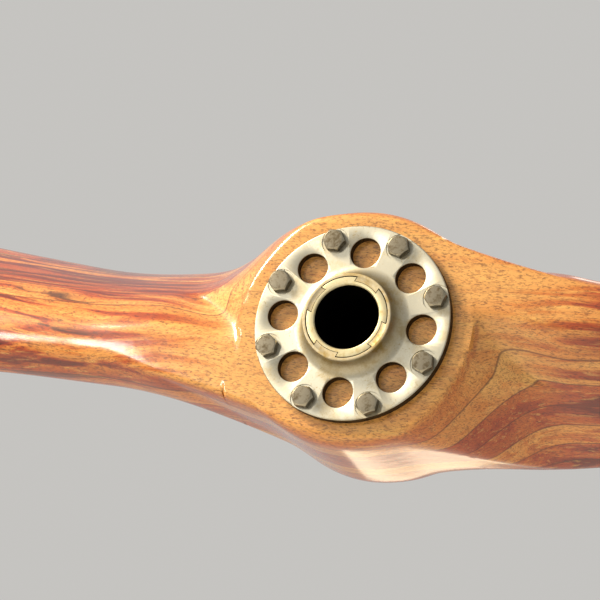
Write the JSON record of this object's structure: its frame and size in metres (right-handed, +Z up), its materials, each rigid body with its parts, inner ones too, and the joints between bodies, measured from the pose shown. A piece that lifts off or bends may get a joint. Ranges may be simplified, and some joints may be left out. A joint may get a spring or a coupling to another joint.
{
  "type": "wooden aircraft propeller",
  "caption": "Two-bladed laminated mahogany propeller clamped between the flanges of a bolted steel hub, turning freely on a short ball-bearing shaft.",
  "frame": {"origin": "on the hub axis at the held rear end of the shaft", "axes": "+X along the right-hand blade, +Y rearwards along the hub axis, +Z up"},
  "size_m": [2.494, 0.2533, 0.245],
  "materials": {
    "mahogany": "glossy varnish",
    "mahogany_dark": "glossy varnish",
    "flange_metal": "worn white-metal plate with oil stains",
    "bolt_steel": "oiled dark steel",
    "bearing_steel": "ground bearing steel",
    "cage_brass": "turned brass",
    "shaft_steel": "turned steel"
  },
  "bodies": {
    "shaft": {"shaft": "shaft_steel", "shaft_locknut": "shaft_steel", "inner_ring_front": "bearing_steel", "inner_ring_rear": "bearing_steel", "inner_spacer": "shaft_steel"},
    "propeller": {"lamination_1": "mahogany", "lamination_2": "mahogany_dark", "lamination_3": "mahogany", "lamination_4": "mahogany_dark", "lamination_5": "mahogany", "lamination_6": "mahogany_dark", "lamination_7": "mahogany", "front_flange": "flange_metal", "hub_sleeve": "flange_metal", "hub_bolt_1": "bolt_steel", "bolt_washer_1": "bolt_steel", "castle_nut_1": "bolt_steel", "split_pin_1": "bolt_steel", "hub_bolt_2": "bolt_steel", "bolt_washer_2": "bolt_steel", "castle_nut_2": "bolt_steel", "split_pin_2": "bolt_steel", "hub_bolt_3": "bolt_steel", "bolt_washer_3": "bolt_steel", "castle_nut_3": "bolt_steel", "split_pin_3": "bolt_steel", "hub_bolt_4": "bolt_steel", "bolt_washer_4": "bolt_steel", "castle_nut_4": "bolt_steel", "split_pin_4": "bolt_steel", "hub_bolt_5": "bolt_steel", "bolt_washer_5": "bolt_steel", "castle_nut_5": "bolt_steel", "split_pin_5": "bolt_steel", "hub_bolt_6": "bolt_steel", "bolt_washer_6": "bolt_steel", "castle_nut_6": "bolt_steel", "split_pin_6": "bolt_steel", "hub_bolt_7": "bolt_steel", "bolt_washer_7": "bolt_steel", "castle_nut_7": "bolt_steel", "split_pin_7": "bolt_steel", "hub_bolt_8": "bolt_steel", "bolt_washer_8": "bolt_steel", "castle_nut_8": "bolt_steel", "split_pin_8": "bolt_steel", "bearing_retainer": "shaft_steel", "retainer_screw_1": "bolt_steel", "retainer_screw_2": "bolt_steel", "retainer_screw_3": "bolt_steel", "retainer_screw_4": "bolt_steel", "outer_ring_front": "bearing_steel", "outer_ring_rear": "bearing_steel", "outer_spacer": "shaft_steel"},
    "ball_cages": {"ball_cage_front": "cage_brass", "ball_cage_rear": "cage_brass"}
  },
  "joints": [
    {"name": "propeller_spin", "type": "hinge", "parent": "shaft", "child": "propeller", "pos_m": [0, -0.15, 0], "axis": [0, -1, 0], "continuous": true},
    {"name": "ball_cage_spin", "type": "hinge", "parent": "shaft", "child": "ball_cages", "pos_m": [0, -0.15, 0], "axis": [0, -1, 0], "continuous": true}
  ],
  "couplings": [
    {"joint": "ball_cage_spin", "follows": "propeller_spin", "ratio": 0.5825}
  ]
}
